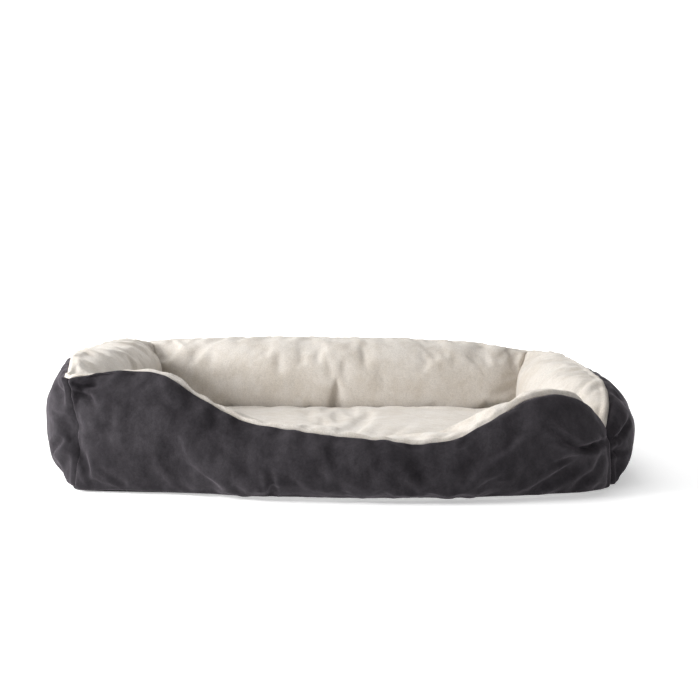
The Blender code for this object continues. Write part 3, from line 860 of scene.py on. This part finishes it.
def pad(name, inset, under, over, finish, slot, node, wave):
    """A soft slab in the cushion between two surfaces, given as (level at the edge, rise to the middle)."""
    outline = cushion_outline(inset, 8 * MM)

    def surface(level, rise, sign):
        def height(ring, share):
            ripple = wave * lumps(raised(ring, level), 30 * MM, 41)
            rounding = -sign * 1.5 * MM * share**24
            return level + rise * (1 - share**3) + ripple * (1 - share**12) + rounding

        return height

    shares = np.concatenate((np.linspace(0.03, 0.93, 26), (0.96, 0.985, 1.0)))
    made = disc_object(name, outline, shares, surface(*under, -1), surface(*over, 1), finish)
    finish_piece(made, "cushion", slot, node)


def rounded_corners(x, y, half_x, half_y, radius):
    """Draws a rectangle's corners in to an arc."""
    over_x = np.maximum(np.abs(x) - (half_x - radius), 0)
    over_y = np.maximum(np.abs(y) - (half_y - radius), 0)
    length = np.hypot(over_x, over_y)
    keep = np.where(length > 0, np.maximum(over_x, over_y) / np.maximum(length, 1e-9), 1.0)
    both = (over_x > 0) & (over_y > 0)
    keep = np.where(both, keep, 1.0)
    return x - np.sign(x) * over_x * (1 - keep), y - np.sign(y) * over_y * (1 - keep)


def cushion_top_grid():
    """The top panel: rows from -Y to +Y, sewn down along the piping and crowned by the filling."""
    half_x, half_y = CUSHION_X - PANEL_INSET, CUSHION_Y - PANEL_INSET
    u = np.linspace(-1, 1, int(2 * half_x / CELL))
    v = np.linspace(-1, 1, int(2 * half_y / CELL))
    u, v = np.meshgrid(u, v)
    x, y = rounded_corners(u * half_x, v * half_y, half_x, half_y, CUSHION_CORNER - PANEL_INSET)
    share = np.clip((np.abs(u) ** 5 + np.abs(v) ** 5) ** 0.2, 0, 1)
    from_edge = np.minimum((1 - np.abs(u)) * half_x, (1 - np.abs(v)) * half_y)
    z = TOP_EDGE + COVER + CROWN * (1 - share**3) - 3.5 * MM * np.exp(-from_edge / (4 * MM))
    return np.stack((x, y, z), -1)


def add_cushion_top():
    grid = cushion_top_grid()
    pinned = np.zeros(grid.shape[:2], bool)
    pinned[[0, -1]] = True
    pinned[:, [0, -1]] = True
    moved = inflate("cloth_top", np.swapaxes(grid, 0, 1), pinned.T, 0.05, 2.0, False)
    moved = kept_folds(np.swapaxes(moved, 0, 1) - grid, pinned, False, 4.5 * MM)
    grid = refined(grid + moved, False)
    from_end, from_side = (np.minimum(np.arange(n), np.arange(n)[::-1]) for n in grid.shape[:2])
    from_edge = np.minimum(from_end[:, None], from_side[None, :]) * CELL / 2
    pucker = lumps(grid, 13 * MM, 51) * groove(from_edge - 8 * MM, 12 * MM)
    grid[..., 2] += 1.3 * MM * pucker * np.minimum(1, from_edge / (4 * MM))
    grid[..., 2] += (1.2 * MM * lumps(grid, 70 * MM, 52) + 0.5 * MM * lumps(grid, 26 * MM, 53)) * np.minimum(
        1, from_edge / (15 * MM)
    )
    top = sheet_object("cushion_top", hemmed(np.swapaxes(grid, 0, 1), 3 * MM), COVER, CREAM_PLUSH, -1)
    finish_piece(top, "cushion", "lining_plush", "cushion_top_panel")


def tube(path, radius, sides, closed):
    """A tube of given radius, one number or one for each point, round a path of world points."""
    path = np.asarray(path, float)
    if closed:
        ahead = np.roll(path, -1, 0) - np.roll(path, 1, 0)
    else:
        ahead = np.gradient(path, axis=0)
    ahead = unit(ahead)
    up = np.array((0.0, 0.0, 1.0)) if abs(ahead[0][2]) < 0.9 else np.array((1.0, 0.0, 0.0))
    side = unit(np.cross(ahead, up))
    up = np.cross(side, ahead)
    radius = np.broadcast_to(radius, len(path))[:, None]
    turn = np.linspace(0, 2 * np.pi, sides, endpoint=False)
    rings = [path + radius * (math.cos(a) * side + math.sin(a) * up) for a in turn]
    points, faces = capped(np.stack(rings, 1), True)
    if closed:
        last = (len(path) - 1) * sides
        faces[-2:] = [(last + i, last + (i + 1) % sides, (i + 1) % sides, i)[::-1] for i in range(sides)]
    return points, faces


def joined(parts):
    """One list of points and one of faces from several."""
    points, faces, start = [], [], 0
    for more_points, more_faces in parts:
        points.append(np.asarray(more_points))
        faces += [tuple(int(i) + start for i in f) for f in more_faces]
        start += len(more_points)
    return np.concatenate(points), faces


def add_piping(name, level, thickness, node):
    outline = cushion_outline(CORD_INSET, 4 * MM)
    path = raised(outline, level)
    path[:, 2] += 0.35 * MM * lumps(path, 50 * MM, 61)
    radius = thickness / 2 * (1 + 0.05 * lumps(path, 9 * MM, 62))
    piece = mesh_object(name, *tube(path, radius, 12, True), CREAM_PLUSH)
    finish_piece(piece, "cushion", "lining_plush", node)


def strip_grid(path, low, high, rows):
    """A band of cloth that stands on a plan path, between two heights, one for all points or one for each."""
    share = np.linspace(0, 1, rows)[None, :, None]
    flat = np.repeat(path[:, None, :], rows, 1)
    low, high = (np.broadcast_to(level, len(path))[:, None, None] for level in (low, high))
    return np.concatenate((flat, low + (high - low) * share), -1)


def rear_path(start, end, y, count):
    """Plan points along X at one distance back."""
    return np.column_stack((np.linspace(start, end, count), np.full(count, y)))


def add_gusset():
    """The band round the ends and the front, a little gathered between its two lines of piping."""
    outline = cushion_outline(0, 4 * MM)
    x, y = outline.T
    rear = (np.abs(y - CUSHION_Y) < 0.01 * MM) & (x > -CUSHION_X + CUSHION_CORNER + 1e-6)
    path = np.concatenate((outline[~rear], [(CUSHION_X - CUSHION_CORNER, CUSHION_Y)]))
    grid = refined(strip_grid(path, CUSHION_LOW.z, CUSHION_HIGH.z, 12), False)
    share = np.linspace(0, 1, grid.shape[1])[None, :]
    swell = np.sin(np.pi * share)
    from_end = np.minimum(np.arange(len(grid)), np.arange(len(grid))[::-1])[:, None] * 2 * MM
    gather = lumps(grid * (1, 1, 0.25), 9 * MM, 71) * (0.4 + 0.6 * np.abs(2 * share - 1) ** 2)
    amount = -0.9 * MM * swell + 0.7 * MM * gather + 0.5 * MM * lumps(grid, 30 * MM, 72)
    grid = sink(grid, amount * np.minimum(1, from_end / (12 * MM)), False)
    piece = sheet_object("cushion_band", hemmed(grid, 2.5 * MM), COVER, CREAM_PLUSH)
    finish_piece(piece, "cushion", "lining_plush", "cushion_gusset")


def add_cushion():
    foot = CUSHION_FOOT
    pad("wadding_below", FILL_INSET, (foot + 2.4 * MM, 0), (foot + 5.8 * MM, 0), WADDING, "polyester_fibre",
        "wadding_lower", 0.25 * MM)
    pad("foam_slab", FILL_INSET, (foot + 6.6 * MM, 0), (47 * MM, 0), FOAM, "foam", "foam_core", 0.0)
    pad("wadding_above", FILL_INSET + 2 * MM, (47.5 * MM, 0), (50.5 * MM, CROWN), WADDING, "polyester_fibre",
        "wadding_upper", 0.6 * MM)
    pad("cushion_base", PANEL_INSET, (foot, 0), (foot + COVER, 0), CREAM_WEAVE, "lining_plush",
        "cushion_base_panel", 0.0)
    add_cushion_top()
    add_piping("piping_top", CUSHION_HIGH.z + 2.5 * MM, 5.4 * MM, "cushion_piping_top")
    add_piping("piping_base", foot + 3 * MM, 5.6 * MM, "cushion_piping_base")
    add_gusset()


# ------------------------ zip


def box_points(low, high):
    corners = np.array(list(itertools.product(*zip(low, high))))
    faces = [(0, 1, 3, 2), (4, 6, 7, 5), (0, 4, 5, 1), (2, 3, 7, 6), (0, 2, 6, 4), (1, 5, 7, 3)]
    return corners, faces


def rounded_metal(name, parts, edge):
    """One cast piece from several blocks, with its edges rounded."""
    piece = mesh_object(name, *joined(parts), METAL, False)
    bevel = piece.modifiers.new("rounded", "BEVEL")
    bevel.width = edge
    bevel.segments = 3
    bevel.limit_method = "ANGLE"
    return piece


def stitch_row(start, end, out):
    """A row of lock stitches between two points on a face that looks along out."""
    start, end, out = (np.array(v, float) for v in (start, end, out))
    run = unit(end - start)
    parts = []
    for k in range(int(np.linalg.norm(end - start) / STITCH)):
        t = np.linspace(0, 1, 5)[:, None]
        middle = start + run * STITCH * (k + 0.12 + 0.76 * t)
        path = middle + out * 0.32 * MM * np.sin(np.pi * t) ** 0.6
        parts.append(tube(path, 0.22 * MM, 6, False))
    return parts


def slot_edge(x, sign):
    """The level of a rear strip's folded edge. It closes over the slot past each end of the zip."""
    past = np.clip((np.abs(x) - ZIP_HALF - 6 * MM) / (12 * MM), 0, 1)
    past = past * past * (3 - 2 * past)
    return ZIP_LEVEL + sign * (SLOT_HALF - (SLOT_HALF - 0.4 * MM) * past)


def add_strips():
    """The two bands of the rear edge, folded under and stitched down along the zip."""
    half = CUSHION_X - CUSHION_CORNER - 0.5 * MM
    path = rear_path(half, -half, REAR, 160)
    stitches = []
    for name, node, sign, low, high in (
        ("rear_band_lower", "zip_strip_lower", -1, CUSHION_LOW.z, slot_edge(path[:, 0], -1)),
        ("rear_band_upper", "zip_strip_upper", 1, slot_edge(path[:, 0], 1), CUSHION_HIGH.z),
    ):
        grid = refined(strip_grid(path, low, high, 8), False)
        gather = lumps(grid * (1, 1, 0.3), 10 * MM, 81)
        from_edge = np.abs(grid[..., 2] - (ZIP_LEVEL + sign * SLOT_HALF))
        amount = (0.35 * MM + 0.35 * MM * gather) * np.clip((from_edge - 3 * MM) / (4 * MM), 0, 1)
        amount += 0.35 * MM * groove(from_edge - 2.2 * MM, 0.8 * MM)
        grid = sink(grid, amount, False)
        piece = sheet_object(name, hemmed(grid, 1.8 * MM), 0.8 * MM, CREAM_PLUSH)
        finish_piece(piece, "cushion", "lining_plush", node)
        level = ZIP_LEVEL + sign * (SLOT_HALF + 2.2 * MM)
        reach = ZIP_HALF + 4 * MM
        stitches += stitch_row((-reach, REAR - 0.3 * MM, level), (reach, REAR - 0.3 * MM, level), (0, 1, 0))
    for x in (-ZIP_HALF - 9 * MM, ZIP_HALF + 9 * MM):
        for shift in (-0.6 * MM, 0, 0.6 * MM):
            low, high = ZIP_LEVEL - SLOT_HALF, ZIP_LEVEL + SLOT_HALF
            stitches += stitch_row((x + shift, REAR, low), (x + shift, REAR, high), (0, 1, 0))
    thread = mesh_object("zip_stitching", *joined(stitches), THREAD)
    finish_piece(thread, "cushion", "lining_plush", "zip_strip_lower")


def add_tapes():
    for name, node in (("tape_lower", "zip_tape_lower"), ("tape_upper", "zip_tape_upper")):
        low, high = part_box(node)
        grid = strip_grid(rear_path(high.x, low.x, high.y, 140), low.z, high.z, 9)
        grid[..., 1] -= 0.12 * MM * (1 + lumps(grid, 22 * MM, 91))
        piece = sheet_object(name, grid, 0.5 * MM, TAPE_CLOTH)
        finish_piece(piece, "cushion", "zip_tape", node)


def add_coil():
    """Two spirals of nylon whose turns lock between each other along the zip."""
    parts = []
    turns = int(2 * ZIP_HALF / TEETH_PITCH)
    for sign in (-1, 1):
        t = np.arange(turns * 10 + 1) / 10
        angle = 2 * np.pi * t + (0 if sign > 0 else np.pi)
        path = np.column_stack((
            -ZIP_HALF + 0.3 * MM + t * (2 * ZIP_HALF - 0.6 * MM) / turns,
            REAR - 1.1 * MM + 0.75 * MM * np.sin(angle),
            ZIP_LEVEL + sign * (0.95 * MM - 1.05 * MM * np.cos(angle)),
        ))
        parts.append(tube(path, 0.3 * MM, 5, False))
    piece = mesh_object("coil_teeth", *joined(parts), NYLON)
    finish_piece(piece, "cushion", "zip_coil", "zip_coil")


def add_stops():
    for name, node in (("end_stop_left", "zip_stop_left"), ("end_stop_right", "zip_stop_right")):
        piece = rounded_metal(name, [box_points(*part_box(node))], 0.5 * MM)
        finish_piece(piece, "cushion", "zip_metal", node)


def add_slider():
    """A channel over the coil, wider where the two rows of teeth run into it, with a bar across the top."""
    rings = []
    inner, outer = 2.8 * MM, 3.8 * MM
    for share in np.linspace(-1, 1, 15):
        x = SLIDER_X + share * SLIDER_LENGTH / 2
        waist = 0.55 * MM * math.exp(-((share - 0.35) / 0.35) ** 2)
        wide = outer - waist - 2.25 * MM * max(0, abs(share) - 0.8)
        lip = min(inner, wide - 0.4 * MM)
        top = REAR + 1.6 * MM - 0.35 * MM * abs(share) ** 3
        half_ring = (
            (top, wide - 0.7 * MM), (top - 0.5 * MM, wide), (REAR - 1 * MM, wide), (REAR - 1 * MM, lip),
            (REAR + 0.5 * MM, inner - 0.2 * MM),
        )
        ring = [(top + 0.12 * MM, 0), *half_ring, *((y, -z) for y, z in half_ring[::-1])]
        rings.append([(x, y, ZIP_LEVEL + z) for y, z in ring])
    parts = [capped(np.array(rings), False)]
    for low, high in ((-2.7, -1.9), (1.9, 2.7)):
        lows = (SLIDER_X - 0.8 * MM, REAR + 1.2 * MM, ZIP_LEVEL + low * MM)
        highs = (SLIDER_X + 0.8 * MM, BAR_Y + 0.9 * MM, ZIP_LEVEL + high * MM)
        parts.append(box_points(lows, highs))
    bar = np.array([(SLIDER_X, BAR_Y, ZIP_LEVEL + z) for z in np.linspace(-2.3 * MM, 2.3 * MM, 5)])
    parts.append(tube(bar, 0.5 * MM, 12, False))
    slider = rounded_metal("slider_body", parts, 0.2 * MM)
    finish_piece(slider, "slider", "zip_metal", "zip_slider")


def add_pull():
    """An eye round the slider's bar, and a tongue that widens to a rounded end with a slot in it."""
    turn = np.linspace(0, 2 * np.pi, 24, endpoint=False)
    eye = np.array([
        [(SLIDER_X + r * math.cos(a), BAR_Y + r * math.sin(a), ZIP_LEVEL + z) for r, z in (
            (1.6 * MM, -1.4 * MM), (1.6 * MM, 1.4 * MM), (0.8 * MM, 1.4 * MM), (0.8 * MM, -1.4 * MM)
        )] for a in turn
    ])
    eye_faces = [tuple(f) for f in grid_faces(24, 4, 0, False, True)]
    eye_faces += [(92 + i, 92 + (i + 1) % 4, (i + 1) % 4, i) for i in range(4)]
    count = 24
    loops = []
    for y in (BAR_Y - 0.35 * MM, BAR_Y + 0.35 * MM):
        for loop in (pull_outline(count), pull_hole(count)):
            loops.append([(x, y, ZIP_LEVEL + z) for x, z in loop])
    points = np.array(loops).reshape(-1, 3)
    faces = []
    for i in range(count):
        j = (i + 1) % count
        faces += [
            (i, j, j + count, i + count), (i + 2 * count, i + 3 * count, j + 3 * count, j + 2 * count),
            (i, i + 2 * count, j + 2 * count, j), (i + count, j + count, j + 3 * count, i + 3 * count),
        ]
    pull = rounded_metal("pull_tab", [(eye.reshape(-1, 3), eye_faces), (points, faces)], 0.15 * MM)
    finish_piece(pull, "pull", "zip_metal", "zip_pull")


def pull_outline(count):
    """The tongue's edge as (along, up) points, anticlockwise from the tip."""
    start, tip = SLIDER_X + 1.3 * MM, SLIDER_X + 12 * MM
    made = []
    for a in np.linspace(0, 2 * np.pi, count, endpoint=False):
        c, s = math.cos(a), math.sin(a)
        along = (start + tip) / 2 + (tip - start) / 2 * math.copysign(abs(c) ** 0.45, c)
        share = (along - start) / (tip - start)
        half = (1.15 + 0.45 * share) * MM
        made.append((along, half * math.copysign(abs(s) ** 0.45, s)))
    return made


def pull_hole(count):
    turns = np.linspace(0, 2 * np.pi, count, endpoint=False)
    return [(SLIDER_X + 9.2 * MM + 1.3 * MM * math.cos(a), 0.7 * MM * math.sin(a)) for a in turns]


def add_label():
    """A blank care label, sewn down along its two short edges."""
    low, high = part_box("care_label")
    grid = strip_grid(rear_path(high.x, low.x, high.y, 28), low.z, high.z, 24)
    share = (grid[..., 2] - low.z) / (high.z - low.z)
    grid[..., 1] += 0.5 * MM * np.sin(np.pi * share) * (1 + 0.4 * lumps(grid, 15 * MM, 95))
    piece = sheet_object("blank_label", grid, 0.3 * MM, LABEL_SATIN)
    finish_piece(piece, "cushion", "label_tape", "care_label")
    rows = []
    for level in (low.z + 1.6 * MM, high.z - 1.6 * MM):
        y = high.y + 0.05 * MM
        rows += stitch_row((low.x + 1 * MM, y, level), (high.x - 1 * MM, y, level), (0, 1, 0))
    thread = mesh_object("label_stitching", *joined(rows), THREAD)
    finish_piece(thread, "cushion", "label_tape", "care_label")


def add_zip():
    add_strips()
    add_tapes()
    add_coil()
    add_stops()
    add_slider()
    add_pull()
    add_label()


# ------------------------ stage, light, camera

EYE = Vector((0.03, -1.75, 0.322))
YAW = math.radians(0.27)
PITCH = math.radians(-4.45)
LENS = 53.0


def add_camera():
    data = bpy.data.cameras.new("camera")
    data.lens = LENS
    camera = bpy.data.objects.new("camera", data)
    camera.location = EYE
    camera.rotation_euler = (math.pi / 2 + PITCH, 0, YAW)
    bpy.context.scene.collection.objects.link(camera)
    bpy.context.scene.camera = camera


def add_light(name, place, aim, size, power):
    data = bpy.data.lights.new(name, "AREA")
    data.shape = "RECTANGLE"
    data.size, data.size_y = size
    data.energy = power
    light = bpy.data.objects.new(name, data)
    light.location = place
    light.rotation_euler = (Vector(aim) - Vector(place)).to_track_quat("-Z", "Y").to_euler()
    bpy.context.scene.collection.objects.link(light)


def add_stage():
    """A pale floor that sweeps up into a backdrop a long way behind the bed, and soft light."""
    n = Nodes("floor")
    paper = n.noise(40.0, 3.0)
    n.set(
        Base_Color=n.ramp(paper, (0.0, 0.93), (1.0, 0.95)), Roughness=0.9, Specular_IOR_Level=0.1,
        Emission_Color=(1, 1, 1), Emission_Strength=0.42,
    )
    half, bend = 6.0, 2.0
    turns = np.linspace(0, math.pi / 2, 17)
    profile = [(half - bend + bend * math.sin(a), bend - bend * math.cos(a)) for a in turns]
    profile = [(-half, 0.0), *profile, (half, 6.0)]
    sweep = np.array([[(x, y, z) for x in (-half, half)] for y, z in profile])
    floor = mesh_object("floor", sweep.reshape(-1, 3), grid_faces(len(profile), 2, 0, True), n.material)
    world = bpy.data.worlds.new("studio")
    world.use_nodes = True
    tree = world.node_tree
    sky = tree.nodes["Background"]
    sky.inputs["Color"].default_value = (1, 1, 1, 1)
    split = tree.nodes.new("ShaderNodeSeparateXYZ")
    tree.links.new(tree.nodes.new("ShaderNodeTexCoord").outputs["Generated"], split.inputs[0])
    fall = tree.nodes.new("ShaderNodeMapRange")
    fall.inputs["From Min"].default_value, fall.inputs["From Max"].default_value = -0.8, 0.7
    fall.inputs["To Min"].default_value, fall.inputs["To Max"].default_value = 0.55, 0.08
    tree.links.new(split.outputs["X"], fall.inputs["Value"])
    backdrop = tree.nodes.new("ShaderNodeMath")
    backdrop.operation = "MAXIMUM"
    tree.links.new(fall.outputs["Result"], backdrop.inputs[0])
    tree.links.new(tree.nodes.new("ShaderNodeLightPath").outputs["Is Camera Ray"], backdrop.inputs[1])
    tree.links.new(backdrop.outputs[0], sky.inputs["Strength"])
    bpy.context.scene.world = world
    bpy.context.scene.view_settings.view_transform = "Standard"
    add_light("key", (-1.7, -0.75, 0.85), (-0.1, 0, 0.1), (0.7, 0.7), 40)
    add_light("top", (-0.2, 0.4, 2.6), (0, 0, 0.1), (2.4, 2.0), 22)
    add_light("fill", (-0.4, -2.6, 0.9), (0, 0, 0.1), (1.2, 0.8), 5)
    add_light("backdrop", (0, 2.5, 3.5), (0, 6, 1.5), (6, 1), 300)


add_camera()
add_stage()
add_walls()
add_base()
add_cushion()
add_zip()
